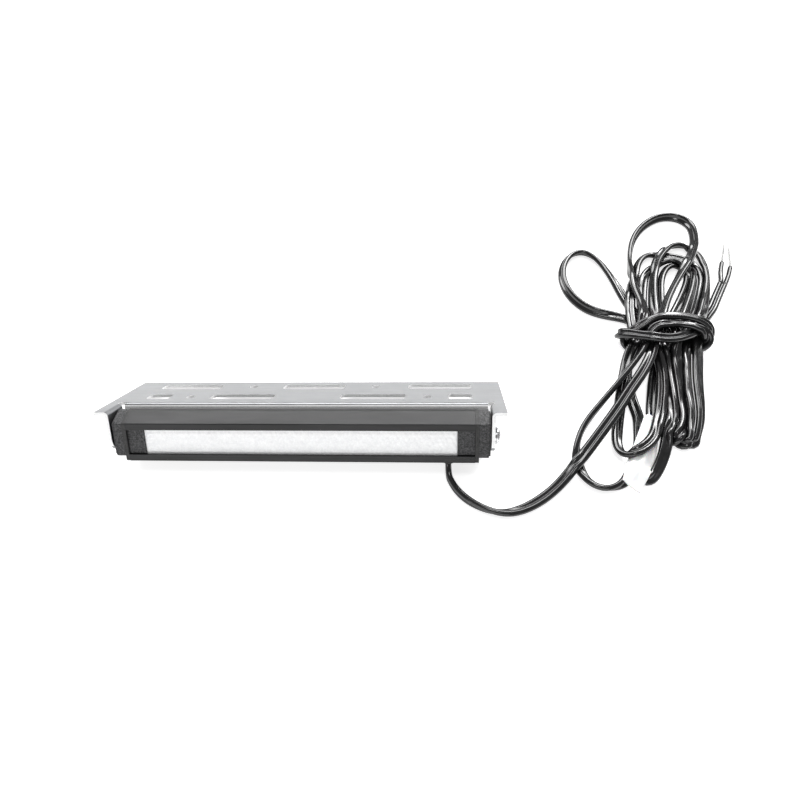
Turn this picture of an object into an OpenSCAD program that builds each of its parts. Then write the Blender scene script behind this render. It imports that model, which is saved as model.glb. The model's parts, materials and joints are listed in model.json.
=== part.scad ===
// Slim low-voltage LED lamp in a slotted, tilting sheet-metal bracket, with its
// two-conductor lead tied up in a hank.  Millimetres, +Z up.
//
// Every lamp part is drawn in the lamp's own frame: X along the bar, Y from the
// light outlet to the back, Z from the lamp up to the bracket plate, and the
// origin on the tilting axis.  set_down() then leans the lamp back until the
// bracket's rear edge and the housing's rear bottom edge rest on the surface.

/* [Bracket] */
// Length of the mounting bracket, along the bar
bracket_len = 182; // [181:1:200]
// Depth of the bracket plate, front to back
bracket_depth = 49; // [47:1:60]
// Thickness of the bracket sheet
sheet = 1.5; // [1.2:0.1:1.8]
// Depth of the ears, and width of the tabs folded down from them
ear_depth = 13; // [12:0.5:13]
// Depth of the stiffening lip between the ears
lip_drop = 3.3; // [2.4:0.1:3.4]
// Length of a long mounting slot
slot_len = 30.5; // [28:0.5:34]
// Length of a short mounting slot
short_slot_len = 11; // [9:0.5:13]
// Width of every mounting slot
slot_w = 7; // [5:0.5:7.5]
// Distance between the centres of neighbouring long slots
slot_pitch = 62; // [60:1:64]
// Diameter of the round mounting holes
hole_d = 4; // [3:0.5:5]

/* [Lamp] */
// Depth of the housing, light outlet to back
lamp_depth = 20; // [19:0.5:21]
// Height of the bezel above the light outlet, and of the one below it
bezel = 3; // [2.6:0.1:3.2]
// Width of the dark block at each end of the light outlet
block_w = 9.2; // [7:0.2:12]
// Number of LED chips in the row
chip_count = 24; // [12:1:30]
// Diameter of the pivot screws' thread
pivot_d = 4; // [3.5:0.1:4]

/* [Lead] */
// Width of the flat two-conductor lead
lead_w = 5.4; // [5:0.1:5.6]
// Thickness of the lead
lead_t = 2.7; // [2.5:0.1:2.8]

/* [Hidden] */
$fn = 48;

// Colours
steel = [0.77, 0.78, 0.78];
bright = [0.88, 0.88, 0.9];
brass = [0.8, 0.65, 0.3];
anodised = [0.3, 0.3, 0.31];
cap_black = [0.18, 0.18, 0.19];
rubber = [0.1, 0.1, 0.1];
opal = [0.95, 0.96, 0.97];
board_white = [0.9, 0.9, 0.88];
vinyl = [0.13, 0.13, 0.14];
paper = [0.93, 0.93, 0.92];

// The section of the lamp, measured from the tilting axis
front = 6.5;                       // axis to the light outlet's face
back = lamp_depth - front;         // axis to the rear wall
under = 10.4;                      // axis to the underside
over = 12.8;                       // axis to the top of the bracket plate
brow = 7.5;                        // top edge of the front face
crest = 11.7;                      // highest line of the housing
clear_r = 11.1;                    // radius that passes under the lip
wall = 1.5;
outlet_top = brow - bezel;         // top edge of the light outlet
outlet_bottom = -under + bezel + 0.2;

// Lengths along the bar, each a half length from the middle
tab_out = bracket_len / 2 - 5;     // outer face of a tab
tab_in = tab_out - sheet;
cap_gap = 0.3;
cap_end = tab_in - cap_gap;
cap_len = 5;
gasket_t = 1.7;
profile_end = cap_end - cap_len - gasket_t;
block_end = profile_end + gasket_t - 0.1;
lens_end = block_end - block_w;

// Bends of the sheet
bend_out = 2;
bend_in = 0.5;
lip_y = ear_depth - front;         // front face of the lip
plate_back = bracket_depth - front;
tab_r = ear_depth / 2;
tab_y = -front + tab_r;

// Slots and holes: rows measured back from the ears' front edge
front_row = 24 - front;
back_row = 40.7 - front;
slot_corner = 1.6;
short_slot_x = 71.5;
hole_x = [30.6, 56.4];

// Inside the housing
lens_y = -5;
lens_t = 2.2;
lens_top = 6;
lens_bottom = -8.7;
rib_t = 1;
board_y = 4;
board_t = 1.6;
pad_t = 0.8;
web_t = 1.5;
board_top = 6.6;
board_bottom = -8.7;
board_end = profile_end - 4;
chip_z = (outlet_top + outlet_bottom) / 2;
chip_span = 2 * lens_end - 14;
port_y = 9.4;
port_z = [-4.4, 1.1];
port_d = 2.7;
screw_x = [-48, 0, 48];
board_screw_z = -6.2;
board_screw_d = 3;
board_screw_grip = 4.2;

// Where the lead leaves the underside, in the lamp's own frame
exit_x = 66;
exit_y = -1.2;
grommet_flange = 0.8;

// How far the lamp leans back, and how high its axis then is
heel_r = 2;
reach = plate_back - (back - heel_r);
drop = (over - sheet) + (under - heel_r);
lean = atan2(drop, reach) + asin(heel_r / norm([reach, drop]));
axis_h = plate_back * sin(lean) - (over - sheet) * cos(lean);
toe_r = 0.8;
nose = (front - toe_r) * cos(lean) + (under - toe_r) * sin(lean) + toe_r;
tail_end = plate_back * cos(lean) + over * sin(lean);
axis_y = (nose - tail_end) / 2;

// The lead's route on the surface, [x, y, z, roll]: roll 0 lies flat and
// roll 90 stands on its edge.
run_route = [
    [66, -23, 7.1, 90], [66, -25.4, 4.7, 90], [66.3, -28.4, 3.3, 90], [67.3, -32, 2.8, 90],
    [69.3, -35.8, 2.8, 90], [72.6, -39.3, 2.8, 90], [77, -42.4, 2.8, 88], [83, -45.2, 2.8, 75],
    [90, -46.6, 2.6, 55], [97, -44.5, 2.2, 38], [104, -40.5, 1.9, 28], [111, -35, 2, 20],
    [117, -29, 3, 15], [123, -22, 4.4, 10],
];
tail_route = [[197, 64, 4.4, 0], [201.5, 69.5, 2.6, 0], [207, 77.5, 1.8, 0], [212.5, 87, 1.5, 0],
    [217.3, 95.5, 1.4, 0]];
leg_d = 2.6;
leg_a_route = [[216.1, 96, 1.4], [218.6, 104.5, 1.4], [221.4, 112.5, 1.4]];
leg_b_route = [[218.5, 94.8, 1.4], [222.2, 102, 1.4], [225, 108.6, 1.4]];
wire_a_route = [[221.4, 112.5, 1.4], [224.2, 120.5, 1.2], [227.2, 129, 1]];
wire_b_route = [[225, 108.6, 1.4], [227, 117, 1.2], [228.9, 125.7, 1]];
wire_d = 1.1;

// The hank: circles [x, y, r] whose hulls make its outline
upper_lobe = [[147, 99, 16], [198, 143, 18], [201, 100, 12.5], [174, 68, 9]];
waist_lobe = [[172, 64, 10], [192, 62, 10], [186, 44, 8]];
lower_lobe = [[170, 46, 9], [186, 40, 9], [184, 2, 9], [160, -24, 7], [146, -16, 8]];
side_lobe = [[129, -27, 8.5], [141, -29, 7.5], [160, 36, 8]];
hank_h = 8;
tie_h = 15;

// ---------------------------------------------------------------- helpers

function unit(v) = v / norm(v);

// Points of the arc that rounds corner b of a polygon with radius r
function corner(a, b, c, r, n = 5) =
    let (
        u = unit(a - b),
        w = unit(c - b),
        half = acos(max(-1, min(1, u * w))) / 2,
        mid = b + unit(u + w) * r / sin(half),
        p = b + u * r / tan(half) - mid,
        q = b + w * r / tan(half) - mid,
        from = atan2(p.y, p.x),
        turn = (atan2(q.y, q.x) - from + 540) % 360 - 180
    )
    [for (i = [0:n]) mid + r * [cos(from + turn * i / n), sin(from + turn * i / n)]];

// Outline through [x, y, r] corners, each rounded with its own r
function rounded(p) = [
    for (i = [0:len(p) - 1])
        let (
            b = [p[i].x, p[i].y],
            a = [p[(i + len(p) - 1) % len(p)].x, p[(i + len(p) - 1) % len(p)].y],
            c = [p[(i + 1) % len(p)].x, p[(i + 1) % len(p)].y]
        )
        each p[i][2] > 0 ? corner(a, b, c, p[i][2]) : [b]
];

// Extrudes a Y-Z section along the bar, between two X positions
module along(from, to)
    rotate([90, 0, 90]) translate([0, 0, from]) linear_extrude(to - from) children();

// Extrudes an X-Z section from front to back, between two Y positions
module through(from, to)
    translate([0, to, 0]) rotate([90, 0, 0]) linear_extrude(to - from) children();

// A cylinder along the bar, between two X positions
module pin(from, to, d) rotate([0, 90, 0]) translate([0, 0, from]) cylinder(d = d, h = to - from);

// A part and its mirror image at the other end
module both_ends() {
    children();
    mirror([1, 0, 0]) children();
}

// Leans the lamp back onto the surface
module set_down() translate([0, axis_y, axis_h]) rotate([-lean, 0, 0]) children();

module slot(length, width) {
    r = slot_corner;
    square([length - 2 * r, width], center = true);
    square([length, width - 2 * r], center = true);
    for (sx = [-1, 1], sy = [-1, 1])
        translate([sx * (length / 2 - r), sy * (width / 2 - r)]) circle(r = r);
}

// Section of the lamp, inset by i all round, down to the given bottom
function lamp_section(i, bottom, toe, heel) = rounded(concat(
    [[-front + i, bottom, toe], [back - i, bottom, heel], [back - i, 4.6 - i, 1.5]],
    [for (a = [36:6:66]) [(clear_r - i) * cos(a), (clear_r - i) * sin(a), 0]],
    [[3.9 - i, crest - i, 0.5], [1.05, crest - i, 5], [-front + i, brow - i / 2, 0.5]]
));

// ---------------------------------------------------------------- bracket

// The flat plate with its slots and holes
module plate_2d() {
    difference() {
        union() {
            translate([-bracket_len / 2, lip_y + bend_out])
                square([bracket_len, plate_back - lip_y - bend_out]);
            for (s = [-1, 1])
                translate([s * (bracket_len / 2 + tab_in + bend_out) / 2, lip_y])
                    square([bracket_len / 2 - tab_in - bend_out, 2 * bend_out + 0.1], center = true);
        }
        for (i = [-1:1]) translate([i * slot_pitch, back_row]) slot(slot_len, slot_w);
        for (s = [-1, 1]) {
            translate([s * slot_pitch / 2, front_row]) slot(slot_len, slot_w);
            translate([s * short_slot_x, front_row]) slot(short_slot_len, slot_w);
            translate([s * hole_x[0], back_row]) circle(d = hole_d);
            translate([s * hole_x[1], front_row]) circle(d = hole_d);
        }
    }
}

// An ear and the tab folded down from its inner edge, at the right-hand end
module ear_and_tab() {
    difference() {
        intersection() {
            through(-front, lip_y)
                polygon(rounded([
                    [tab_in, -tab_r, 0], [tab_out, -tab_r, 0],
                    [tab_out, over - sheet, bend_in], [bracket_len / 2, over - sheet, 0],
                    [bracket_len / 2, over, 0], [tab_in, over, bend_out],
                ]));
            along(tab_in - 1, bracket_len / 2 + 1) {
                translate([-front, 0]) square([ear_depth, over + 1]);
                translate([tab_y, 0]) circle(r = tab_r);
            }
        }
        pin(tab_in - 1, tab_out + 1, pivot_d + 0.1);
    }
}

module lip_section()
    polygon(rounded([
        [lip_y, over - lip_drop, 0], [lip_y + sheet, over - lip_drop, 0],
        [lip_y + sheet, over - sheet, bend_in], [lip_y + bend_out + 0.1, over - sheet, 0],
        [lip_y + bend_out + 0.1, over, 0], [lip_y, over, bend_out - 0.1],
    ]));

module mounting_bracket() color(steel) set_down() {
    translate([0, 0, over - sheet]) linear_extrude(sheet) plate_2d();
    along(-tab_in + 1, tab_in - 1) lip_section();
    both_ends() ear_and_tab();
}

// ------------------------------------------------------------------ pivot

washer_t = 0.6;
washer_gap = 0.05;
head_x = tab_out + washer_gap + washer_t;
head_d = 8;
head_h = 2;
dome_r = 1.7;
recess_depth = 0.9;
pivot_tip = cap_end - cap_len - 0.5;

// Domed pan head with a cross recess, on a plain shank
module pivot_screw() {
    difference() {
        translate([head_x, 0, 0]) rotate([0, 90, 0]) rotate_extrude()
            polygon(rounded([
                [0, 0, 0], [head_d / 2, 0, 0], [head_d / 2, head_h, dome_r], [0, head_h, 0],
            ]));
        for (a = [0, 90])
            translate([head_x + head_h - 0.2, 0, 0]) rotate([a, 0, 0])
                cube([2 * recess_depth, 0.9, 3.8], center = true);
    }
    pin(pivot_tip, head_x + 0.2, pivot_d);
}

module pivot_screws() color(bright) set_down() both_ends() pivot_screw();

module spring_washers() color(bright) set_down() both_ends()
    difference() {
        pin(tab_out + washer_gap, head_x, 7);
        pin(tab_out - 1, head_x + 1, pivot_d + 0.1);
    }

insert_d = 6.4;

module pivot_inserts() color(brass) set_down() both_ends()
    difference() {
        pin(cap_end - cap_len + 0.2, cap_end - 0.2, insert_d);
        pin(cap_end - cap_len - 1, cap_end + 1, pivot_d + 0.04);
    }

// ---------------------------------------------------------------- housing

cavity = [
    [-front + wall, -under + wall], [back - wall, -under + wall], [back - wall, 2.6],
    [7.4, 5.4], [5.2, 8.2], [3, 9.6], [-1, 8.4], [-front + wall, 6.2],
];

module housing_section() {
    difference() {
        polygon(lamp_section(0, -under, toe_r, heel_r));
        polygon(cavity);
        translate([-front - 1, outlet_bottom])
            square([wall + 2, outlet_top - outlet_bottom]);
    }
    // ribs that hold the lens against the bezels
    translate([lens_y + lens_t + 0.1, 5]) square([rib_t, 3.6]);
    translate([lens_y + lens_t + 0.1, -under + 1]) square([rib_t, 2.2]);
    // web behind the board
    translate([board_y + board_t + pad_t, -under + 1]) square([web_t, under + 5.6]);
    // ports for the end cap screws
    for (z = port_z) difference() {
        translate([port_y, z]) circle(d = port_d + 3);
        translate([port_y, z]) circle(d = port_d);
    }
}

module housing_profile() color(anodised) set_down()
    difference() {
        along(-profile_end, profile_end) difference() {
            housing_section();
            for (z = port_z) translate([port_y, z]) circle(d = port_d);
        }
        // way out for the lead
        translate([exit_x, exit_y, -under]) linear_extrude(3 * wall, center = true) grommet_hole(0);
        // holes for the board screws
        for (x = screw_x)
            translate([x, board_y, board_screw_z]) rotate([-90, 0, 0])
                cylinder(d = board_screw_d + 0.04, h = board_screw_grip + 0.5);
    }

// --------------------------------------------------------------- end caps

cap_bottom = -8.4;
edge_step = 0.7;

module end_cap() {
    difference() {
        union() {
            along(cap_end - cap_len, cap_end - edge_step)
                polygon(lamp_section(0.4, cap_bottom, 1.5, 2.4));
            along(cap_end - edge_step, cap_end)
                polygon(lamp_section(0.4 + edge_step, cap_bottom + edge_step, 1, 2));
        }
        pin(cap_end - cap_len - 1, cap_end + 1, insert_d);
        for (z = port_z) translate([0, port_y, z]) {
            pin(cap_end - cap_len - 1, cap_end + 1, 3.1);
            pin(cap_end - 2.2, cap_end + 1, 5.3);
        }
    }
}

module end_cap_left() color(cap_black) set_down() mirror([1, 0, 0]) end_cap();
module end_cap_right() color(cap_black) set_down() end_cap();

// Flat gasket between the profile and the cap, standing a little below both
module end_gasket() {
    along(profile_end, profile_end + gasket_t) difference() {
        polygon(lamp_section(0.1, -under + 0.1, toe_r, heel_r));
        circle(d = pivot_d + 1);
        for (z = port_z) translate([port_y, z]) circle(d = 3.1);
    }
}

module end_gasket_left() color(rubber) set_down() mirror([1, 0, 0]) end_gasket();
module end_gasket_right() color(rubber) set_down() end_gasket();

module end_cap_screws() color(bright) set_down() both_ends()
    for (z = port_z) translate([0, port_y, z]) difference() {
        union() {
            pin(cap_end - 2.2, cap_end - 0.3, 5);
            pin(profile_end - 8, cap_end - 2.1, port_d - 0.04);
        }
        translate([cap_end - 0.3, 0, 0]) cube([1.6, 0.7, 3], center = true);
        translate([cap_end - 0.3, 0, 0]) cube([1.6, 3, 0.7], center = true);
    }

// ----------------------------------------------------------- light outlet

module lens() color(opal) set_down()
    along(-lens_end, lens_end)
        translate([lens_y + 0.4, lens_bottom]) square([lens_t - 0.4, lens_top - lens_bottom]);

module lens_seal() color(rubber) set_down()
    along(-lens_end, lens_end) {
        translate([lens_y + 0.05, outlet_top + 0.3])
            square([0.3, lens_top - outlet_top - 0.3]);
        translate([lens_y + 0.05, lens_bottom])
            square([0.3, outlet_bottom - 0.3 - lens_bottom]);
    }

// Block that closes the outlet between the lens and the end gasket
module lens_block()
    along(lens_end, profile_end) {
        translate([lens_y + 0.05, lens_bottom]) square([lens_t, lens_top - lens_bottom]);
        translate([-front + 1.2, outlet_bottom + 0.3])
            square([wall - 0.8, outlet_top - outlet_bottom - 0.4]);
    }

module lens_block_left() color(cap_black) set_down() mirror([1, 0, 0]) lens_block();
module lens_block_right() color(cap_black) set_down() lens_block();

// --------------------------------------------------------------- light set

module led_board() color(board_white) set_down()
    difference() {
        along(-board_end, board_end)
            translate([board_y, board_bottom]) square([board_t, board_top - board_bottom]);
        for (x = screw_x)
            translate([x, board_y - 1, board_screw_z]) rotate([-90, 0, 0])
                cylinder(d = board_screw_d + 0.3, h = board_t + 2);
    }

module thermal_pad() color([0.6, 0.65, 0.7]) set_down()
    difference() {
        along(-board_end, board_end)
            translate([board_y + board_t, board_bottom + 0.5])
                square([pad_t, board_top - board_bottom - 1.2]);
        for (x = screw_x)
            translate([x, board_y, board_screw_z]) rotate([-90, 0, 0])
                cylinder(d = board_screw_d + 0.6, h = 5);
    }

// A surface-mounted part on the front of the board
module chip(x, z, w, h, t) translate([x - w / 2, board_y - t, z - h / 2]) cube([w, t, h]);

module led_chips() color([0.98, 0.93, 0.6]) set_down()
    for (i = [0:chip_count - 1])
        chip(-chip_span / 2 + i * chip_span / (chip_count - 1), chip_z, 3.5, 2.8, 0.8);

module chip_resistors() color([0.1, 0.1, 0.1]) set_down()
    for (i = [0:7]) chip(-56 + 16 * i, 4.8, 3.1, 1.6, 0.6);

module current_regulators() color([0.12, 0.12, 0.12]) set_down()
    for (x = [-32, 32]) chip(x, -6, 6.5, 3.4, 1.6);

module polarity_diode() color([0.15, 0.15, 0.16]) set_down() chip(54.5, -6, 4.4, 2.6, 2.1);

terminal_t = 2.2;
core_d = 1.6;
core_turn_z = 6.2;

module wire_terminal() color([0.85, 0.85, 0.82]) set_down() chip(exit_x + 1, -6.1, 7, 4, terminal_t);

module board_screws() color(bright) set_down()
    for (x = screw_x) translate([x, board_y, board_screw_z]) rotate([90, 0, 0]) difference() {
        union() {
            cylinder(d = 5.2, h = 1.5);
            translate([0, 0, -board_screw_grip]) cylinder(d = board_screw_d, h = board_screw_grip + 0.1);
        }
        for (a = [0, 90]) rotate([0, 0, a]) translate([0, 0, 1.5]) cube([3, 0.6, 1.2], center = true);
    }

// Two insulated conductors from the grommet up to the terminal
module inner_leads() color(rubber) set_down()
    for (s = [-1, 1]) translate([exit_x + 1.25 * s, 0, 0]) {
        translate([0, 0, -under + wall]) cylinder(d = core_d, h = under - wall - core_turn_z);
        translate([0, 0, -core_turn_z]) sphere(d = core_d);
        translate([0, 0, -core_turn_z]) rotate([-90, 0, 0])
            cylinder(d = core_d, h = board_y - terminal_t);
    }

// ------------------------------------------------------------------- lead

module grommet_hole(grow) {
    w = lead_t + 1.6 + 2 * grow;
    h = lead_w + 1.6 + 2 * grow;
    square([w, h - w], center = true);
    for (s = [-1, 1]) translate([0, s * (h - w) / 2]) circle(d = w);
}

module cord_grommet() color(rubber) set_down()
    translate([exit_x, exit_y, -under]) {
        linear_extrude(wall) grommet_hole(-0.02);
        translate([0, 0, -grommet_flange]) linear_extrude(grommet_flange) grommet_hole(0.5);
    }

// Ring of the lead's section at one route point, across the direction t
function ring(p, t, w, h, n = 8) =
    let (
        side = unit(cross(t, [0, 0, 1])),
        up = cross(side, t),
        roll = len(p) > 3 ? p[3] : 0
    )
    [for (i = [0:n - 1])
        let (a = 360 * (i + 0.5) / n, u = w / 2 * cos(a) / cos(180 / n), v = h / 2 * sin(a) / cos(180 / n))
        [p.x, p.y, p.z]
            + side * (u * cos(roll) - v * sin(roll))
            + up * (u * sin(roll) + v * cos(roll))];

function place(p) = [p.x, p.y, p.z];

// Direction of the route at point i
function heading(r, i) = unit(place(r[min(i + 1, len(r) - 1)]) - place(r[max(i - 1, 0)]));

// Tube along a route, as one closed solid
module swept(route, w, h, n = 8) {
    rings = [for (i = [0:len(route) - 1]) each ring(route[i], heading(route, i), w, h, n)];
    last = len(route) - 1;
    polyhedron(
        points = rings,
        faces = concat(
            [[for (k = [0:n - 1]) k]],
            [for (i = [0:last - 1], k = [0:n - 1])
                each [
                    [i * n + k, (i + 1) * n + k, (i + 1) * n + (k + 1) % n],
                    [i * n + k, (i + 1) * n + (k + 1) % n, i * n + (k + 1) % n]
                ]],
            [[for (k = [n - 1:-1:0]) last * n + k]]
        )
    );
}

// From the grommet, down onto the surface and round to the hank
module lead_run() color(vinyl) swept(run_route, lead_w, lead_t);

module hull_of(circles) hull() for (c = circles) translate([c.x, c.y]) circle(r = c[2], $fn = 24);

module lead_hank() color(vinyl) linear_extrude(hank_h) {
    hull_of(upper_lobe);
    hull_of(waist_lobe);
    hull_of(lower_lobe);
    hull_of(side_lobe);
}

// The two turns of lead that tie the hank at its waist
module hank_tie() color(rubber) translate([0, 0, hank_h])
    linear_extrude(tie_h - hank_h) hull_of([[166, 60, 6], [194, 60, 7]]);

module lead_tail() color(vinyl) swept(tail_route, lead_w, lead_t);
module leg_positive() color(vinyl) swept(leg_a_route, leg_d, leg_d);
module leg_negative() color(vinyl) swept(leg_b_route, leg_d, leg_d);

module bare_wires() color(bright) {
    swept(wire_a_route, wire_d, wire_d);
    swept(wire_b_route, wire_d, wire_d);
}

// Blank paper flag wrapped round the lead
module lead_tag() color(paper) translate([153, -13, hank_h]) rotate([0, 0, 68])
    translate([-22, -5, 0]) cube([44, 10, 0.8]);

mounting_bracket();
pivot_screws();
spring_washers();
pivot_inserts();
housing_profile();
end_cap_left();
end_cap_right();
end_gasket_left();
end_gasket_right();
end_cap_screws();
lens();
lens_seal();
lens_block_left();
lens_block_right();
led_board();
led_chips();
chip_resistors();
current_regulators();
polarity_diode();
wire_terminal();
board_screws();
thermal_pad();
inner_leads();
cord_grommet();
lead_run();
lead_hank();
hank_tie();
lead_tail();
leg_positive();
leg_negative();
bare_wires();
lead_tag();
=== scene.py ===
"""Looks for a slim LED lamp in a slotted, tilting sheet-metal bracket, with its
flat two-conductor lead tied up in a hank.  Metres; route tables in millimetres."""

import json
import math

import bmesh
import bpy
import numpy as np
from mathutils import Matrix, Vector

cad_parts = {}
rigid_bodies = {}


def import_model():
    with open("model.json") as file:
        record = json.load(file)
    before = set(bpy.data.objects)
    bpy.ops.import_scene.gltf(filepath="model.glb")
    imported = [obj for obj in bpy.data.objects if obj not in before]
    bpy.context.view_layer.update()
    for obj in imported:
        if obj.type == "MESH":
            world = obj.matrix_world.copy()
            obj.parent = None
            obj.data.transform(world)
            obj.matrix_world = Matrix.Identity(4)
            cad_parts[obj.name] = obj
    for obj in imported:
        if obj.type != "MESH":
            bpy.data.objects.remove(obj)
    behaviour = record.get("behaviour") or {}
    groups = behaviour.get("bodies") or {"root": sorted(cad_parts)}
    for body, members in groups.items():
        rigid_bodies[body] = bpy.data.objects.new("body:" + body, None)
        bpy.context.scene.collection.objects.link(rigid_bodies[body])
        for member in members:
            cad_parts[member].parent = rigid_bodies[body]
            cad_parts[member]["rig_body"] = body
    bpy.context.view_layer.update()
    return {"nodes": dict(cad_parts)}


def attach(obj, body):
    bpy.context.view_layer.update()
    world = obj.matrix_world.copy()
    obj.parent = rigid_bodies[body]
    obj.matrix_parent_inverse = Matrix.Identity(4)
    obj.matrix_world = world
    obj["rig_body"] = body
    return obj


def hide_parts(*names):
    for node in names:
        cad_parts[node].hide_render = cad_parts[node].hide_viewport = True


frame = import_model()
NODES = frame["nodes"]
MM = 0.001
scene = bpy.context.scene

# The tilting axis and the lean of the lamp about it
AXIS = Vector((0, -15.49956, 15.521084)) * MM
LEAN = math.radians(35.5567)

# The bracket's plate, above the tilting axis
PLATE_TOP = 12.8
SHEET = 1.5

# The lead's section
LEAD_T = 2.7
CORE_R = LEAD_T / 2


def unit(v):
    return v / np.maximum(np.linalg.norm(v, axis=-1, keepdims=True), 1e-9)


def in_lamp(x, y, z):
    """A point of the lamp's own frame (mm from the tilting axis) in the row frame."""
    turn = Matrix.Rotation(-LEAN, 3, "X")
    return AXIS + turn @ Vector((x, y, z)) * MM


# ------------------------------------------------------------------ camera


def make_camera():
    """A 27 mm view from in front and above, as the reference view has it."""
    right = Vector((0.99729, 0.04423, -0.05887))
    up = Vector((0.00023, 0.79766, 0.60310))
    back = Vector((0.07364, -0.60148, 0.79549))
    data = bpy.data.cameras.new("camera")
    data.lens = 27
    data.sensor_width = 36
    data.clip_start = 0.01
    camera = bpy.data.objects.new("camera", data)
    turn = Matrix((right, up, back)).transposed()
    place = Vector((64.21, -162.76, 236.43)) * MM
    camera.matrix_world = Matrix.Translation(place) @ turn.to_4x4()
    scene.collection.objects.link(camera)
    scene.camera = camera


# --------------------------------------------------------------- materials


class Paint:
    """A Principled material with helpers for procedural variation."""

    def __init__(self, name, base, rough, metal=0.0, **sockets):
        self.mat = bpy.data.materials.new(name)
        self.mat.use_nodes = True
        self.tree = self.mat.node_tree
        self.shader = self.tree.nodes["Principled BSDF"]
        self.shader.inputs["Base Color"].default_value = (*base, 1)
        self.shader.inputs["Roughness"].default_value = rough
        self.shader.inputs["Metallic"].default_value = metal
        for key, value in sockets.items():
            self.shader.inputs[key.replace("_", " ")].default_value = value
        self.coords = None
        self.normal = None

    def node(self, kind, **settings):
        made = self.tree.nodes.new(kind)
        for key, value in settings.items():
            if key in made.inputs:
                made.inputs[key].default_value = value
            else:
                setattr(made, key, value)
        return made

    def link(self, a, b):
        self.tree.links.new(a, b)

    def place(self, scale=(1, 1, 1), turn=(0, 0, 0)):
        """Object coordinates, stretched and turned."""
        if self.coords is None:
            self.coords = self.node("ShaderNodeTexCoord").outputs["Object"]
        m = self.node("ShaderNodeMapping")
        m.inputs["Scale"].default_value = scale
        m.inputs["Rotation"].default_value = turn
        self.link(self.coords, m.inputs["Vector"])
        return m.outputs["Vector"]

    def noise(self, size, detail=3, scale=(1, 1, 1), turn=(0, 0, 0), rough=0.5):
        """Noise whose grains are about size millimetres."""
        n = self.node("ShaderNodeTexNoise", Scale=1 / (size * MM), Detail=detail)
        n.inputs["Roughness"].default_value = rough
        self.link(self.place(scale, turn), n.inputs["Vector"])
        return n.outputs["Fac"]

    def cells(self, size, scale=(1, 1, 1), feature="F1"):
        v = self.node("ShaderNodeTexVoronoi", Scale=1 / (size * MM))
        v.feature = feature
        self.link(self.place(scale), v.inputs["Vector"])
        return v.outputs["Distance"]

    def ramp(self, fac, stops):
        r = self.node("ShaderNodeValToRGB")
        while len(r.color_ramp.elements) < len(stops):
            r.color_ramp.elements.new(0.5)
        for element, (at, colour) in zip(r.color_ramp.elements, stops):
            element.position = at
            element.color = (*colour, 1)
        self.link(fac, r.inputs["Fac"])
        return r.outputs["Color"]

    def colour(self, fac, low, high, a=0.3, b=0.7):
        self.link(self.ramp(fac, [(a, low), (b, high)]), self.shader.inputs["Base Color"])
        return self

    def roughness(self, fac, low, high, a=0.3, b=0.7):
        m = self.node("ShaderNodeMapRange")
        m.inputs["From Min"].default_value = a
        m.inputs["From Max"].default_value = b
        m.inputs["To Min"].default_value = low
        m.inputs["To Max"].default_value = high
        self.link(fac, m.inputs["Value"])
        self.link(m.outputs["Result"], self.shader.inputs["Roughness"])
        return self

    def bump(self, fac, depth, strength=1.0):
        """Adds a bump of about depth millimetres."""
        b = self.node("ShaderNodeBump", Strength=strength, Distance=depth * MM)
        self.link(fac, b.inputs["Height"])
        if self.normal is not None:
            self.link(self.normal, b.inputs["Normal"])
        self.normal = b.outputs["Normal"]
        self.link(self.normal, self.shader.inputs["Normal"])
        return self


def grey(v, warm=0.0):
    return (v * (1 + warm), v, v * (1 - warm))


LEANT = (LEAN, 0, 0)


def steel_sheet():
    """Bright zinc-plated sheet: long rolling grain, faint clouds, fine speckle."""
    p = Paint("steel_sheet", grey(0.33), 0.33, 1.0)
    clouds = p.noise(9, 4, turn=LEANT)
    grain = p.noise(0.5, 5, scale=(0.03, 1, 1), turn=LEANT, rough=0.65)
    p.colour(clouds, (0.18, 0.184, 0.19), (0.2, 0.204, 0.21))
    p.roughness(grain, 0.28, 0.38)
    p.bump(grain, 0.01).bump(p.noise(0.35, 2), 0.006)
    return p.mat


def cut_edge_and_painted_light_zinc():
    """A paler, matt finish for the bracket: on its front faces it is painted light that makes them
    look white, and on its cut edges it is partly their own sheared finish and partly painted light.
    """
    p = Paint("cut_edge_and_painted_light_zinc", grey(0.8), 0.6, 0.15)
    p.colour(p.noise(0.8, 3), grey(0.76), grey(0.88))
    p.roughness(p.noise(0.3, 3), 0.5, 0.7)
    p.bump(p.noise(0.15, 3), 0.01)
    return p.mat


def bright_metal(name="bright_metal", base=(0.78, 0.78, 0.79), rough=0.2):
    """Nickel-bright hardware with light handling marks."""
    p = Paint(name, base, rough, 1.0)
    marks = p.noise(0.7, 5, rough=0.7)
    p.colour(p.noise(2, 3), tuple(c * 0.88 for c in base), base)
    p.roughness(marks, rough * 0.7, rough * 1.7)
    p.bump(marks, 0.006)
    return p.mat


def anodised():
    """Charcoal anodised extrusion with fine die lines along the bar."""
    p = Paint("anodised_profile", grey(0.02), 0.34)
    p.shader.inputs["Specular IOR Level"].default_value = 0.26
    lines = p.noise(0.22, 4, scale=(0.012, 1, 1), turn=LEANT, rough=0.7)
    cloud = p.noise(5, 4, scale=(0.25, 1, 1), turn=LEANT)
    p.colour(cloud, (0.006, 0.0062, 0.0065), (0.014, 0.014, 0.015))
    p.roughness(lines, 0.3, 0.48)
    p.bump(lines, 0.012).bump(p.noise(0.12, 2), 0.004)
    return p.mat


def moulded(name="moulded_cap", dark=(0.007, 0.007, 0.0075), light=(0.075, 0.075, 0.078)):
    """Spark-textured black plastic with lighter pits."""
    p = Paint(name, grey(0.03), 0.6)
    p.shader.inputs["Specular IOR Level"].default_value = 0.38
    pits = p.noise(0.75, 5, rough=0.75)
    p.colour(pits, dark, light, 0.42, 0.62)
    p.roughness(p.noise(1.2, 3), 0.5, 0.72)
    p.bump(pits, 0.05).bump(p.cells(0.25), 0.02)
    return p.mat


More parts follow.
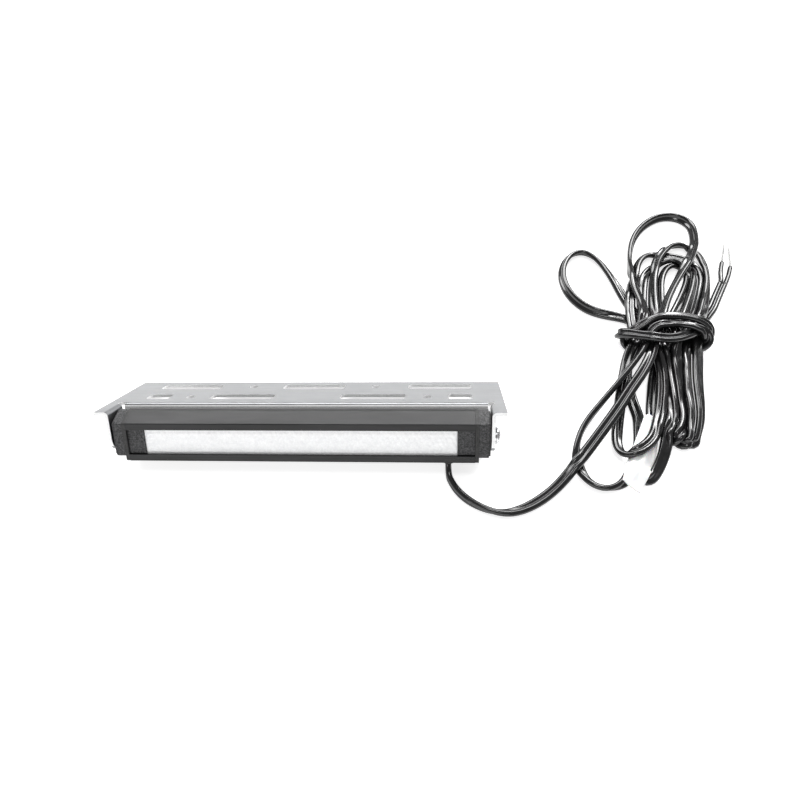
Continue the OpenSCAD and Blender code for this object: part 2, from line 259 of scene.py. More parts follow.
def rubber():
    p = Paint("black_rubber", grey(0.012), 0.62)
    p.colour(p.noise(1.4, 3), grey(0.009), grey(0.02))
    p.roughness(p.noise(0.6, 3), 0.5, 0.75)
    p.bump(p.noise(0.18, 3), 0.012)
    return p.mat


def vinyl():
    """Glossy black lead jacket, faintly wavy from extrusion."""
    p = Paint("lead_vinyl", grey(0.007), 0.2)
    p.shader.inputs["Specular IOR Level"].default_value = 0.5
    p.colour(p.noise(5, 4), (0.0045, 0.0045, 0.0048), (0.0105, 0.0105, 0.011))
    p.roughness(p.noise(1.6, 4, rough=0.6), 0.1, 0.2)
    p.bump(p.noise(4.5, 2), 0.03).bump(p.noise(0.3, 3), 0.003)
    return p.mat


def opal():
    """White prismatic diffuser, light scattering below the surface."""
    p = Paint("opal_lens", (0.93, 0.94, 0.95), 0.24)
    p.shader.inputs["Subsurface Weight"].default_value = 0.35
    p.shader.inputs["Subsurface Radius"].default_value = (1, 1, 1)
    p.shader.inputs["Subsurface Scale"].default_value = 0.0015
    p.shader.inputs["Coat Weight"].default_value = 0.2
    p.colour(p.noise(2.2, 3), (0.78, 0.785, 0.795), (0.86, 0.865, 0.87))
    p.roughness(p.noise(0.8, 2), 0.18, 0.34)
    p.bump(p.noise(0.3, 2), 0.01)
    return p.mat


def paper():
    """White wrap-round tag, matt, with fibres and soft creases."""
    p = Paint("tag_paper", (0.9, 0.9, 0.89), 0.7)
    p.shader.inputs["Subsurface Weight"].default_value = 0.1
    p.shader.inputs["Subsurface Scale"].default_value = 0.0004
    p.colour(p.noise(6, 4), (0.86, 0.86, 0.855), (0.94, 0.94, 0.935))
    p.roughness(p.noise(0.9, 3), 0.55, 0.8)
    p.bump(p.noise(0.25, 4, rough=0.7), 0.01).bump(p.noise(7, 3, scale=(1, 0.3, 1)), 0.25)
    return p.mat


def tinned():
    p = Paint("tinned_strands", (0.4, 0.4, 0.39), 0.3, 1.0)
    p.colour(p.noise(0.8, 3), (0.14, 0.14, 0.135), (0.24, 0.24, 0.235))
    p.bump(p.noise(0.2, 2), 0.006)
    return p.mat


def brass():
    p = Paint("brass", (0.72, 0.52, 0.22), 0.28, 1.0)
    p.colour(p.noise(1, 4), (0.62, 0.44, 0.17), (0.79, 0.6, 0.3))
    p.bump(p.noise(0.3, 3, scale=(4, 1, 1)), 0.01)
    return p.mat


def solder_mask():
    p = Paint("white_board", (0.8, 0.8, 0.77), 0.35)
    p.colour(p.noise(4, 4), (0.74, 0.75, 0.72), (0.84, 0.84, 0.81))
    p.bump(p.cells(0.6), 0.01)
    return p.mat


def gap_pad():
    p = Paint("gap_pad", (0.32, 0.37, 0.42), 0.6)
    p.colour(p.noise(0.5, 4), (0.26, 0.3, 0.35), (0.38, 0.43, 0.48))
    p.bump(p.noise(0.4, 3), 0.03)
    return p.mat


def phosphor():
    p = Paint("phosphor", (0.9, 0.72, 0.2), 0.4)
    p.shader.inputs["Subsurface Weight"].default_value = 0.2
    p.colour(p.noise(0.4, 3), (0.84, 0.63, 0.13), (0.95, 0.8, 0.3))
    p.bump(p.noise(0.2, 2), 0.01)
    return p.mat


def chip_epoxy():
    p = Paint("chip_epoxy", grey(0.015), 0.5)
    p.colour(p.noise(0.3, 4), grey(0.01), grey(0.03))
    p.bump(p.noise(0.12, 3), 0.01)
    return p.mat


def nylon():
    p = Paint("nylon", (0.78, 0.78, 0.74), 0.45)
    p.shader.inputs["Subsurface Weight"].default_value = 0.2
    p.colour(p.noise(1.5, 3), (0.72, 0.72, 0.68), (0.82, 0.82, 0.78))
    p.bump(p.noise(0.3, 3), 0.01)
    return p.mat


# ------------------------------------------------------------ mesh helpers


def new_object(name, verts, faces, mat, smooth=True):
    mesh = bpy.data.meshes.new(name)
    mesh.from_pydata([tuple(v) for v in verts], [], faces)
    mesh.materials.append(mat)
    if smooth:
        mesh.polygons.foreach_set("use_smooth", [True] * len(mesh.polygons))
    mesh.validate()
    mesh.update()
    obj = bpy.data.objects.new(name, mesh)
    scene.collection.objects.link(obj)
    return obj


def softened(node, name, mat, width=0.12, segments=2, angle=28):
    """A copy of a CAD node with its sharp edges rounded, which stands for the node."""
    mesh = NODES[node].data.copy()
    mesh.name = name
    mesh.materials.clear()
    mesh.materials.append(mat)
    b = bmesh.new()
    b.from_mesh(mesh)
    bmesh.ops.remove_doubles(b, verts=b.verts, dist=2e-6)
    bmesh.ops.dissolve_limit(
        b, angle_limit=math.radians(0.6), verts=b.verts, edges=b.edges, delimit={"NORMAL"}
    )
    sharp = [
        e for e in b.edges
        if len(e.link_faces) == 2 and e.calc_face_angle(0) > math.radians(angle)
    ]
    bmesh.ops.bevel(
        b, geom=sharp, offset=width * MM, segments=segments, profile=0.5,
        affect="EDGES", clamp_overlap=True,
    )
    bmesh.ops.triangulate(b, faces=[f for f in b.faces if len(f.verts) > 4])
    b.to_mesh(mesh)
    b.free()
    mesh.polygons.foreach_set("use_smooth", [True] * len(mesh.polygons))
    mesh.set_sharp_from_angle(angle=math.radians(50))
    obj = bpy.data.objects.new(name, mesh)
    scene.collection.objects.link(obj)
    flat = obj.modifiers.new("flat_faces", "WEIGHTED_NORMAL")
    flat.weight = 100
    flat.keep_sharp = True
    apply_modifiers(obj)
    body = NODES[node]["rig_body"]
    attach(obj, body)
    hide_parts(node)
    return obj


def repaint(node, mat):
    data = NODES[node].data
    if not data.materials:
        data.materials.append(mat)
    for i in range(len(data.materials)):
        data.materials[i] = mat


def smooth_line(points, step):
    """Points about step apart on a centripetal Catmull-Rom curve through the given ones."""
    p = np.array(points, float)
    ends = [2 * p[0] - p[1], *p, 2 * p[-1] - p[-2]]
    out = []
    for a, b, c, d in zip(ends, ends[1:], ends[2:], ends[3:]):
        gaps = [max(np.linalg.norm((v - u)[:3]), 1e-6) ** 0.5 for u, v in ((a, b), (b, c), (c, d))]
        t0, t1, t2 = 0, gaps[0], gaps[0] + gaps[1]
        t3 = t2 + gaps[2]
        n = max(1, int(round(np.linalg.norm((c - b)[:3]) / step)))
        for t in np.linspace(t1, t2, n, endpoint=False):
            a1 = (t1 - t) / (t1 - t0) * a + (t - t0) / (t1 - t0) * b
            a2 = (t2 - t) / (t2 - t1) * b + (t - t1) / (t2 - t1) * c
            a3 = (t3 - t) / (t3 - t2) * c + (t - t2) / (t3 - t2) * d
            b1 = (t2 - t) / (t2 - t0) * a1 + (t - t0) / (t2 - t0) * a2
            b2 = (t3 - t) / (t3 - t1) * a2 + (t - t1) / (t3 - t1) * a3
            out.append((t2 - t) / (t2 - t1) * b1 + (t - t1) / (t2 - t1) * b2)
    out.append(p[-1])
    return np.array(out)


def evenly(line, step):
    """The same line with its points step apart along it."""
    gap = np.linalg.norm(np.diff(line[:, :3], axis=0), axis=1)
    along = np.concatenate([[0], np.cumsum(gap)])
    at = np.linspace(0, along[-1], int(along[-1] / step) + 1)
    return np.stack([np.interp(at, along, line[:, k]) for k in range(line.shape[1])], axis=1)


def directions(line):
    return unit(np.gradient(line, axis=0))


def sweep(name, line, across, section, mat, close_ends=True):
    """A tube of the given section along a line in mm; across is each ring's first axis."""
    t = directions(line)
    u = unit(across - (across * t).sum(1, keepdims=True) * t)
    v = np.cross(t, u)
    s = np.array(section)
    rings = line[:, None] + s[None, :, :1] * u[:, None] + s[None, :, 1:] * v[:, None]
    n, m = len(line), len(s)
    faces = [
        (i * m + k, i * m + (k + 1) % m, (i + 1) * m + (k + 1) % m, (i + 1) * m + k)
        for i in range(n - 1)
        for k in range(m)
    ]
    if close_ends:
        faces += [tuple(range(m - 1, -1, -1)), tuple(range((n - 1) * m, n * m))]
    return new_object(name, rings.reshape(-1, 3) * MM, faces, mat)


# -------------------------------------------------------------------- lead

# Every stretch is [x, y, z, roll]: roll 0 lies flat and roll 90 stands on edge.
# From the grommet, down onto the surface and round to the hank
RUN = [
    [66, -23, 7.1, 90], [66, -25.4, 4.7, 90], [66.3, -28.4, 3.3, 90], [67.3, -32, 2.8, 90],
    [69.3, -35.8, 2.8, 90], [72.6, -39.3, 2.8, 90], [77, -42.4, 2.8, 88], [83, -45.2, 2.8, 75],
    [90, -46.6, 2.6, 55], [97, -44.5, 2.2, 38], [104, -40.5, 1.9, 28], [111, -35, 2, 20],
    [117, -29, 3, 15], [123, -22, 4.4, 10],
]
# Up over the lower loops and under the tie
ONTO = [
    [129.5, -14, 5.8, 8], [136.5, -5, 7, 5], [144.5, 5.5, 8, 5], [152, 16.5, 9, 5],
    [159, 26, 9.8, 5], [165, 36.5, 10.2, 10], [170, 48, 10.2, 30], [175, 62, 10, 55],
]
# The tall loop at the top
UPPER_1 = [
    [183, 79, 9.2, 64], [194, 98, 8, 60], [205, 117, 6, 45], [211, 136, 4, 48], [211.5, 147, 3.2, 55],
    [206, 154, 2.6, 62], [196, 154.5, 2.6, 66], [185, 147, 2.6, 72], [176, 134, 2.6, 76],
    [171, 118, 2.8, 78], [169, 102, 3.8, 68], [168, 87, 5.6, 52], [169, 73, 7.2, 38],
]
# The loop at the lower left, over the tag
LOWER_1 = [
    [167, 61, 7.4, 15], [161, 51, 6, 10], [156, 41, 4.6, 10], [151.5, 26, 3, 10],
    [147.5, 11, 2, 10], [144, -2, 1.9, 15], [142, -12, 2.6, 30], [143.5, -18.5, 4.2, 50],
    [149, -18.5, 5.6, 52], [155, -12.5, 5.8, 38], [161, -3, 5.4, 18], [165.5, 8, 5.3, 10],
    [168.5, 21, 6, 10], [170, 35, 6.6, 5], [171, 47, 6.8, 5],
]
UPPER_2 = [
    [172, 58, 6.8, 10], [175, 76, 6, 40], [178, 91, 5.3, 57], [182, 106, 4.8, 64],
    [189, 119, 4.2, 66], [197, 127, 3.6, 65], [205, 127.5, 3, 56], [210, 120, 2.6, 42],
    [210.5, 107, 2.2, 30], [207, 91, 2.6, 28], [201, 75, 4.2, 15], [196, 62, 6, 5],
]
# The outermost of the loops at the lower right
LOWER_2 = [
    [191.5, 50, 6.4, 0], [188, 36, 5.4, 5], [185, 23, 4.7, 10], [183, 10, 4.2, 20],
    [181, 1, 4, 30], [177.5, -6, 3.6, 50], [173, -10.5, 3, 60], [169.5, -10, 2.2, 40],
    [171.5, -3, 1.4, 5], [176, 9, 1.4, 0], [179.5, 23, 1.6, 0], [180.5, 38, 2.6, 0],
]
# The loop that lies off to the left
UPPER_3 = [
    [177.5, 52, 4.1, 0], [171, 61, 2.6, 0], [163.5, 69, 1.5, 0], [157, 70.5, 1.6, 25],
    [149.5, 71.5, 2.3, 58],
    [141, 75.5, 2.4, 64], [133.5, 86, 2.4, 66], [130.5, 101, 2.4, 68], [133.5, 114.5, 2.4, 70],
    [140, 122.5, 2.4, 66], [146, 123.5, 2.4, 60], [152, 117.5, 2.4, 55], [158, 101, 2.3, 50],
    [162, 87, 1.6, 15], [165.5, 74, 1.5, 0], [169, 62, 2.6, 0],
]
# Down beside the tag, turning under it
LOWER_3 = [
    [171, 55, 4.4, 0], [173.5, 42, 5.6, 0], [172, 25, 6.2, 0], [171, 10, 5.7, 0], [168.5, -1, 5.6, 5],
    [165, -9, 5.2, 10], [161, -18, 3.8, 10], [157, -25, 2, 15], [153, -30, 1.6, 45],
    [149.5, -30, 1.8, 68], [147.8, -25, 1.8, 55], [150, -17, 1.4, 15], [154, -7, 1.4, 0],
    [155.5, 3, 1.6, 22], [153.5, 13, 1.8, 30], [152.5, 24, 1.4, 10], [155, 36, 1.4, 0],
    [159.5, 48, 2.8, 0],
]
UPPER_4 = [
    [161.5, 59, 4.4, 0], [162.5, 71, 4.3, 0], [165, 85, 3.4, 10], [169.5, 99, 2.6, 42],
    [174, 111.5, 2.6, 66], [180, 119.5, 2.6, 60], [186, 121, 2, 20], [194, 118.5, 1.4, 0],
    [202, 116, 1.5, 5], [206.5, 110, 1.8, 22], [207, 99, 2.5, 52], [203, 86, 3.2, 54],
    [197, 73, 4.6, 30], [190, 60, 6, 10],
]
LOWER_4 = [
    [185, 47, 6.4, 0], [181.5, 33, 5.6, 5], [179.5, 18, 4.9, 14], [177.5, 4, 4.5, 25],
    [174.5, -4, 4.3, 42], [171.5, -9.5, 3.7, 60], [168.2, -11.5, 2.4, 48], [168.5, -7, 1.5, 8],
    [171, 3, 1.4, 0], [175, 15, 1.4, 0], [177, 29, 1.8, 0], [175, 43, 3.4, 0],
]
UPPER_5 = [
    [169, 56, 4.1, 0], [169, 71, 3.4, 0], [171.5, 85, 2.8, 12], [175, 98.5, 3, 28],
    [180.5, 107.5, 3.2, 28], [188, 113, 3.9, 12], [195.5, 113.5, 4.2, 14], [200, 107, 4.6, 32],
    [197.5, 95, 5.1, 50], [191.5, 82, 5.9, 50], [185.5, 70, 6.5, 25],
]
LOWER_5 = [
    [180, 58, 6.8, 5], [178.5, 45, 6.6, 5], [177, 31, 6, 8], [175.5, 18, 5.3, 14],
    [173.5, 4, 4.9, 25], [171.5, -5, 4.7, 40], [169.5, -10.5, 3.8, 60], [166.2, -11, 2, 45],
    [166.5, -6.5, 1.4, 8], [168, 3, 1.4, 0], [172, 16, 1.4, 0], [174, 30, 1.6, 0], [176.5, 45, 3.4, 0],
]
UPPER_6 = [
    [178, 58, 4.1, 15], [179, 72, 3.4, 40], [181.5, 86, 2.8, 62], [185, 100, 3, 70],
    [191, 109.5, 3.4, 48], [198, 111, 3.9, 30], [202.5, 105, 4.2, 50], [200.5, 93, 4.8, 60],
    [194.5, 78, 5.4, 50], [187, 63, 6.4, 15],
]
# Through the tag, round to the left and back up beside the first run
LOWER_6 = [
    [179, 51, 5.4, 0], [171.5, 40, 4.2, 0], [166, 27, 3, 0], [163, 14, 2, 0], [160, 2, 1.9, 0],
    [155.5, -8, 2.5, 0], [150.5, -18, 3.1, 3], [146, -26.5, 3.1, 12], [142, -31.5, 2.6, 60],
    [136.5, -34, 2.5, 120], [130, -33.5, 2.5, 125], [125, -29, 2.6, 110], [123, -21, 2.7, 94],
    [124, -11.5, 2.7, 90], [128.5, -1, 3.1, 89], [137, 9.5, 4.8, 85], [147, 21, 6.8, 81],
    [157.5, 34, 8.8, 74], [164.5, 44.5, 10, 50],
]
# Two turns round the waist, and the free end tucked under them
TIE = [
    [169, 52.5, 12.2, 20], [177.5, 55, 13.4, 0], [186, 54, 13.2, 0], [192.5, 51.5, 12, 0],
    [196, 49.5, 9.6, 0], [196.5, 48, 6, 0], [194, 47, 3, 0], [189, 46.5, 1.4, 0], [177, 47, 1.4, 0],
    [165, 48.5, 1.4, 0], [158.5, 49, 2.4, 0], [156, 50, 5, 0], [157.5, 51.5, 8.6, 0],
    [161.5, 53.5, 11.4, 0], [168, 56.5, 13.4, 0], [177, 58.5, 14.2, 0], [186, 58, 14, 0],
    [193, 55.5, 12.8, 0], [197.5, 53.5, 9.8, 0], [198, 52.5, 6, 0], [195.5, 52, 3, 0],
    [190, 52, 1.4, 0], [178, 53, 1.4, 0], [166, 53.5, 1.4, 0], [157.5, 54, 2.2, 0],
    [153.5, 53.5, 5.2, 0], [153, 52, 8.6, 0], [156, 49.5, 11.6, 0], [162, 45.5, 13.6, 0],
    [169.5, 43, 14.2, 0], [177, 43.5, 14, 0], [184.5, 47.5, 12.6, 0], [190, 51, 11.4, 0],
    [195, 56, 9, 0], [196.5, 60, 6, 0], [196.5, 64, 3.6, 0], [199.5, 67.5, 2.2, 0],
    [206, 75.5, 1.7, 0], [212, 86, 1.5, 0], [217.3, 95.5, 1.4, 0],
]
ROUTE = (RUN + ONTO + UPPER_1 + LOWER_1 + UPPER_2 + LOWER_2 + UPPER_3 + LOWER_3 + UPPER_4
         + LOWER_4 + UPPER_5 + LOWER_5 + UPPER_6 + LOWER_6 + TIE)
LEG_A = [[218.6, 104.5, 1.4], [221.4, 112.5, 1.4]]
LEG_B = [[222.2, 102, 1.4], [225, 108.6, 1.4]]
LEG_R = 1.3
WIRE_A = [[221.4, 112.5, 1.4], [224.2, 120.5, 1.2], [227.2, 129, 1]]
WIRE_B = [[225, 108.6, 1.4], [227, 117, 1.2], [228.9, 125.7, 1]]
STATION = 1.6          # distance between the settled stations, mm
NEAR = 2.95            # how close two conductors' middles may come, mm
PINNED = 6             # stations that the grommet holds
SINK = 0.01            # how far a core sinks in a round, mm
HOMING = 0.02          # share of the way back to the drawn route in a round
EASING = 0.12          # share of a bend that a pass straightens


def two_cores(route):
    """The middles of the two conductors along the route, before it is settled."""
    line = evenly(smooth_line(route, 1.0), STATION)
    middle, roll = line[:, :3], np.radians(line[:, 3])[:, None]
    t = directions(middle)
    side = unit(np.cross(t, [0, 0, 1.0]))
    up = np.cross(side, t)
    across = side * np.cos(roll) + up * np.sin(roll)
    for k in range(1, len(across)):
        if across[k] @ across[k - 1] < 0:
            across[k] *= -1
    return middle - across * CORE_R, middle + across * CORE_R


def close_pairs(p, reach):
    """Numbers of the particles of different stations that are within reach."""
    n = len(p) // 2
    square = (p ** 2).sum(1)
    first, second = [], []
    for start in range(0, len(p), 512):
        block = p[start:start + 512]
        d2 = square[start:start + 512, None] + square[None] - 2 * block @ p.T
        i, j = np.nonzero(d2 < reach * reach)
        i = i + start
        far = np.abs(i % n - j % n) > 3
        keep = (i < j) & far
        first.append(i[keep])
        second.append(j[keep])
    return np.concatenate(first), np.concatenate(second)


def settle(a, b, rounds):
    """Lets the twin cores lie: they keep their length, rest on the surface and on each other."""
    n = len(a)
    p = np.concatenate([a, b])
    home = p.copy()
    fixed = np.zeros(2 * n, bool)
    fixed[:PINNED] = fixed[n:n + PINNED] = True
    along = np.arange(n - 1)
    links = [
        (along, along + 1, np.linalg.norm(a[1:] - a[:-1], axis=1)),
        (along + n, along + n + 1, np.linalg.norm(b[1:] - b[:-1], axis=1)),
        (np.arange(n), np.arange(n) + n, np.full(n, 2 * CORE_R)),
        (along, along + n + 1, np.hypot(STATION, 2 * CORE_R)),
        (along + 1, along + n, np.hypot(STATION, 2 * CORE_R)),
    ]
    for turn in range(rounds):
        if turn % 8 == 0:
            i, j = close_pairs(p, NEAR + 1.6)
        p[:, 2] -= SINK
        p += HOMING * (home - p)
        for _ in range(2):
            move, count = np.zeros_like(p), np.full(len(p), 1e-9)
            d = p[j] - p[i]
            far = np.linalg.norm(d, axis=1)
            hit = far < NEAR
            push = d[hit] * ((NEAR - far[hit]) / np.maximum(far[hit], 1e-6) / 2)[:, None]
            np.add.at(move, i[hit], -push)
            np.add.at(move, j[hit], push)
            np.add.at(count, i[hit], 1)
            np.add.at(count, j[hit], 1)
            p += move / np.maximum(count, 1)[:, None] * 1.3
            for first, second, rest in links:
                d = p[second] - p[first]
                far = np.linalg.norm(d, axis=1)
                fix = d * ((far - rest) / np.maximum(far, 1e-6) / 2)[:, None] * 0.5
                p[first] += fix
                p[second] -= fix
            for part in (p[:n], p[n:]):
                part[1:-1] += EASING * ((part[:-2] + part[2:]) / 2 - part[1:-1])
            p[:, 2] = np.maximum(p[:, 2], CORE_R)
            p[fixed] = home[fixed]
    return p[:n], p[n:]


def lead_section():
    """Two round cores with a web between them, as [u, v] points in mm."""
    arc = np.radians(np.linspace(-146, 146, 11))
    right = [(CORE_R + CORE_R * math.cos(t), CORE_R * math.sin(t)) for t in arc]
    left = [(-u, -v) for u, v in right]
    return right + left


def round_section(r, n=14):
    return [(r * math.cos(2 * math.pi * k / n), r * math.sin(2 * math.pi * k / n)) for k in range(n)]


def upright(line):
    """A horizontal across-axis for each ring of a round piece."""
    return np.cross(directions(line), [0, 0, 1.0])


def leg_line(start, heading, points):
    return evenly(smooth_line([start, start + heading * 3, *np.array(points, float)], 1.0), 0.8)


def strands(name, route, mat, count=7, pitch=9.0):
    """Tinned strands with a gentle twist, as one piece."""
    line = evenly(smooth_line(route, 0.8), 0.5)
    t, u = directions(line), unit(upright(line))
    v = np.cross(t, u)
    gap = np.linalg.norm(np.diff(line, axis=0), axis=1)
    along = np.concatenate([[0], np.cumsum(gap)])
    parts = []
    for k in range(count):
        r = 0.0 if k == 0 else 0.34
        phase = 2 * math.pi * (k / max(count - 1, 1)) + 2 * math.pi * along / pitch
        middle = line + r * (np.cos(phase)[:, None] * u + np.sin(phase)[:, None] * v)
        parts.append(sweep(f"{name}_{k}", middle, upright(middle), round_section(0.19, 8), mat))
    return joined(name, parts)


def joined(name, parts):
    """The parts as one object."""
    b = bmesh.new()
    for part in parts:
        b.from_mesh(part.data)
    mesh = bpy.data.meshes.new(name)
    b.to_mesh(mesh)
    b.free()
    for mat in parts[0].data.materials:
        mesh.materials.append(mat)
    for part in parts:
        bpy.data.objects.remove(part)
    obj = bpy.data.objects.new(name, mesh)
    scene.collection.objects.link(obj)
    return obj


# The paper tag's two long edges, [x, y] from its narrow end at the back to the front
TAG_LEFT = [[157.5, 5.5], [154.5, -1], [149.5, -11], [144.5, -21], [140.5, -31]]
TAG_RIGHT = [[163, 4], [161.5, -6], [159, -15], [155, -24], [148, -35.5]]


def stations_of(line, stretch):
    """First and last station of a stretch of the route."""
    ends = [int(np.argmin(np.linalg.norm(line - np.array(q[:3]), axis=1)))
            for q in (stretch[0], stretch[-1])]
    return range(min(ends), max(ends))


def heights(points, cores, side):
    """Top (side 1) or bottom (side -1) of the lead's cores over each [x, y] point."""
    gap2 = ((points[..., None, :] - cores[:, :2]) ** 2).sum(-1)
    rise = np.sqrt(np.maximum(CORE_R ** 2 - gap2, 0))
    high = np.where(gap2 < CORE_R ** 2, cores[:, 2] + side * rise, -side * 99)
    return high.max(-1) if side > 0 else high.min(-1)


def along_edge(line, rows):
    """Points of a tag's edge at the given shares of its length."""
    shares = np.linspace(0, 1, len(line))
    return np.stack([np.interp(rows, shares, line[:, k]) for k in (0, 1)], axis=1)


def dense_cores(keys, a, b):
    """Both cores of the given stations as closely spaced points."""
    return np.concatenate([evenly(side[keys], 0.5) for side in (a, b)])


def make_tag(home, a, b, mat):
    """A paper strip that lies loosely over one strand and under two others."""
    left, right = evenly(smooth_line(TAG_LEFT, 1.0), 0.9), evenly(smooth_line(TAG_RIGHT, 1.0), 0.9)
    n, m = 40, 17
    rows = np.linspace(0, 1, n)
    share = np.linspace(0, 1, m)[None, :, None]
    flat = along_edge(left, rows)[:, None] * (1 - share) + along_edge(right, rows)[:, None] * share
    under = [*stations_of(home, LOWER_6)]
    turn = [k for k in stations_of(home, LOWER_3) if a[k, 0] < 156]
    over = [*stations_of(home, LOWER_1)] + [
        k for k in stations_of(home, LOWER_3) if a[k, 0] > 158 and a[k, 1] < 0]
    tops = [heights(flat, dense_cores(keys, a, b), 1) for keys in (under, turn)]
    low = np.maximum(*tops) + 0.13
    low = np.maximum(low, 0.3)
    roof = np.maximum(heights(flat, np.concatenate([a[over], b[over]]), -1) - 0.2, low)
    z = np.full((n, m), 4.6)
    for _ in range(160):
        mean = np.pad(z, 1, "edge")
        mean = (mean[:-2, 1:-1] + mean[2:, 1:-1] + mean[1:-1, :-2] + mean[1:-1, 2:]) / 4
        z = np.clip(0.1 * z + 0.9 * mean - 0.035, low, roof)
    verts = np.concatenate([flat, z[..., None]], axis=2).reshape(-1, 3)
    faces = [
        (i * m + k, i * m + k + 1, (i + 1) * m + k + 1, (i + 1) * m + k)
        for i in range(n - 1)
        for k in range(m - 1)
    ]
    tag = new_object("paper_tag", verts * MM, faces, mat)
    thick = tag.modifiers.new("thick", "SOLIDIFY")
    thick.thickness = 0.14 * MM
    thick.offset = 0
    apply_modifiers(tag)
    return tag


def apply_modifiers(obj):
    bpy.context.view_layer.update()
    graph = bpy.context.evaluated_depsgraph_get()
    mesh = bpy.data.meshes.new_from_object(obj.evaluated_get(graph))
    obj.modifiers.clear()
    obj.data = mesh


def make_lead():
    a, b = two_cores(ROUTE)
    home = (a + b) / 2
    a, b = settle(a, b, 240)
    wall, wires = vinyl(), tinned()
    both = evenly(smooth_line(np.hstack([(a + b) / 2, b - a]), 0.8), 1.2)
    middle, across = both[:, :3], both[:, 3:]
    lead = sweep("flat_lead", middle, across, lead_section(), wall)
    heading = unit(middle[-1] - middle[-4])
    legs = []
    for name, core, points, node in (
        ("leg_positive_jacket", a[-1], LEG_A, "leg_positive"),
        ("leg_negative_jacket", b[-1], LEG_B, "leg_negative"),
    ):
        line = leg_line(core - heading * 1.0, heading, points)
        leg = sweep(name, line, upright(line), round_section(LEG_R), wall)
        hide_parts(node)
        legs.append(leg)
    pair = joined("tinned_ends", [
        strands("strands_a", WIRE_A, wires),
        strands("strands_b", WIRE_B, wires),
    ])
    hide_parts("bare_wires")
    tag = make_tag(home, a, b, paper())
    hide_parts("lead_tag")
    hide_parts("lead_run", "lead_hank", "hank_tie", "lead_tail")
    for piece, slot in ((lead, "cord_vinyl"), (legs[0], "cord_vinyl"), (legs[1], "cord_vinyl"),
                        (pair, "tinned_wire"), (tag, "tag_paper")):
        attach(piece, "lamp")
    return lead


# -------------------------------------------------------------------- lens


def make_lens(mat):
    """The diffuser: a thin plate whose face is a honeycomb of shallow pillows."""
    low, high = -8.7, 6.0
    end, face, back, pillow, cell = 69.9, -4.6, -2.8, 0.22, 2.3
    nx, nz = 420, 46
    xs, zs = np.linspace(-end, end, nx), np.linspace(low, high, nz)
    x, z = np.meshgrid(xs, zs, indexing="ij")
    row = cell * math.sqrt(3) / 2
    best = np.full(x.shape, 1e9)
    for shift in (-1, 0, 1):
        line = np.round(z / row) + shift
        offset = np.where(np.mod(line, 2) == 1, cell / 2, 0)
        column = np.round((x - offset) / cell)
        best = np.minimum(best, (x - offset - column * cell) ** 2 + (z - line * row) ** 2)
    rise = pillow * (1 - best / (cell * cell / 3))
    edge = np.minimum(np.minimum(end - np.abs(x), z - low), high - z)
    y = face - np.maximum(rise, 0) * np.clip(edge / 0.6, 0, 1)
    front = [in_lamp(*p) for p in zip(x.ravel(), y.ravel(), z.ravel())]
    rear = [in_lamp(px, back, pz) for px, pz in zip(x.ravel(), z.ravel())]

    def at(i, k):
        return i * nz + k

    size = nx * nz
    faces = []
    for i in range(nx - 1):
        for k in range(nz - 1):
            faces.append((at(i, k), at(i + 1, k), at(i + 1, k + 1), at(i, k + 1)))
    rim = [at(i, 0) for i in range(nx)] + [at(nx - 1, k) for k in range(1, nz)]
    rim += [at(i, nz - 1) for i in range(nx - 2, -1, -1)] + [at(0, k) for k in range(nz - 2, 0, -1)]
    used = {v: size + n for n, v in enumerate(rim)}
    verts = front + [rear[v] for v in rim]
    for a, b in zip(rim, rim[1:] + rim[:1]):
        faces.append((b, a, used[a], used[b]))
    faces.append(tuple(used[v] for v in reversed(rim)))
    lens = new_object("lens_diffuser", verts, faces, mat)
    lens.data.set_sharp_from_angle(angle=math.radians(40))
    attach(lens, "lamp")
    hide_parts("lens")
    return lens


# ------------------------------------------------------------- solid parts


def paint_edges_and_painted_light(bracket, mat):
    """Gives the rim, slots, holes and front faces of the bracket the paler finish: painted light on
    the front faces, and partly painted light on the cut edges of the rim, slots and holes.
    """
    bracket.data.materials.append(mat)
    up = (in_lamp(0, 0, 1) - AXIS).normalized()
    ahead = (in_lamp(0, -1, 0) - AXIS).normalized()
    underside = PLATE_TOP - SHEET - 0.1
    for face in bracket.data.polygons:
        high = (face.center - AXIS).dot(up) / MM
        in_rim = high > underside and abs(face.normal.dot(up)) < 0.3
        # painted light: front-facing faces get the paler material as if brightly lit, and rim faces
        # partly so
        if in_rim or face.normal.dot(ahead) > 0.8:
            face.material_index = 1


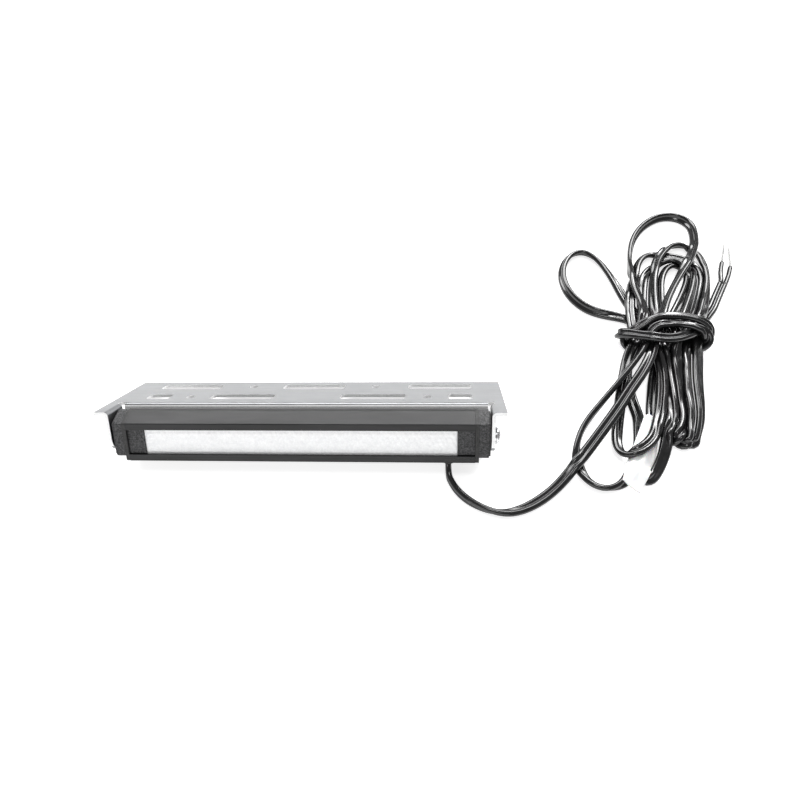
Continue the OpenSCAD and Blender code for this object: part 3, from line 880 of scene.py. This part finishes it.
def dress_solids():
    sheet, profile, cap, black = steel_sheet(), anodised(), moulded(), rubber()
    bright = bright_metal()
    bracket = softened("mounting_bracket", "bracket_sheet", sheet, 0.16)
    # The paler material paints light onto the bracket's front faces and partly onto its cut edges.
    paint_edges_and_painted_light(bracket, cut_edge_and_painted_light_zinc())
    softened("housing_profile", "housing_extrusion", profile, 0.14)
    for side in ("left", "right"):
        softened(f"end_cap_{side}", f"cap_{side}_moulding", cap, 0.2)
        softened(f"end_gasket_{side}", f"gasket_{side}_sheet", black, 0.12)
        softened(f"lens_block_{side}", f"block_{side}_moulding", cap, 0.15)
    softened("pivot_screws", "pivot_screw_pair", bright, 0.08)
    softened("spring_washers", "washer_pair", bright, 0.1)
    softened("cord_grommet", "grommet_moulding", black, 0.15)
    for node, mat in (
        ("pivot_inserts", brass()), ("end_cap_screws", bright), ("lens_seal", black),
        ("led_board", solder_mask()), ("led_chips", phosphor()), ("chip_resistors", chip_epoxy()),
        ("current_regulators", chip_epoxy()), ("polarity_diode", chip_epoxy()),
        ("wire_terminal", nylon()), ("board_screws", bright), ("thermal_pad", gap_pad()),
        ("inner_leads", vinyl()),
    ):
        repaint(node, mat)


# ------------------------------------------------------------ floor, light


def make_floor():
    mesh = bpy.data.meshes.new("floor")
    r = 4.0
    mesh.from_pydata([(-r, -r, 0), (r, -r, 0), (r, r, 0), (-r, r, 0)], [], [(0, 1, 2, 3)])
    p = Paint("floor_white", (0.75, 0.75, 0.75), 0.9)
    p.shader.inputs["Specular IOR Level"].default_value = 0.1
    p.shader.inputs["Emission Color"].default_value = (1, 1, 1, 1)
    p.shader.inputs["Emission Strength"].default_value = 0.72
    mesh.materials.append(p.mat)
    floor = bpy.data.objects.new("floor", mesh)
    scene.collection.objects.link(floor)


def softbox(name, place, target, size, watts):
    data = bpy.data.lights.new(name, "AREA")
    data.shape = "RECTANGLE"
    data.size, data.size_y = size
    data.energy = watts
    light = bpy.data.objects.new(name, data)
    light.location = place
    light.rotation_euler = (Vector(target) - Vector(place)).to_track_quat("-Z", "Y").to_euler()
    scene.collection.objects.link(light)


def make_light():
    world = bpy.data.worlds.new("studio")
    world.use_nodes = True
    world.node_tree.nodes["Background"].inputs["Color"].default_value = (1, 1, 1, 1)
    world.node_tree.nodes["Background"].inputs["Strength"].default_value = 0.33
    scene.world = world
    scene.view_settings.view_transform = "Standard"
    middle = (0.06, 0.03, 0)
    softbox("back_box", (0.05, 0.88, 0.72), (0, 0.03, 0), (1.9, 0.4), 25)
    softbox("key", (0.5, 0.72, 0.72), (0.15, 0.05, 0), (0.22, 0.22), 4.2)
    softbox("overhead", (0.1, -0.1, 1.1), middle, (0.25, 0.25), 2.4)
    softbox("front_low", (-0.2, -0.9, 0.27), (0, 0, 0.02), (1.3, 0.3), 4.4)


make_camera()
make_light()
make_floor()
make_lead()
make_lens(opal())
dress_solids()
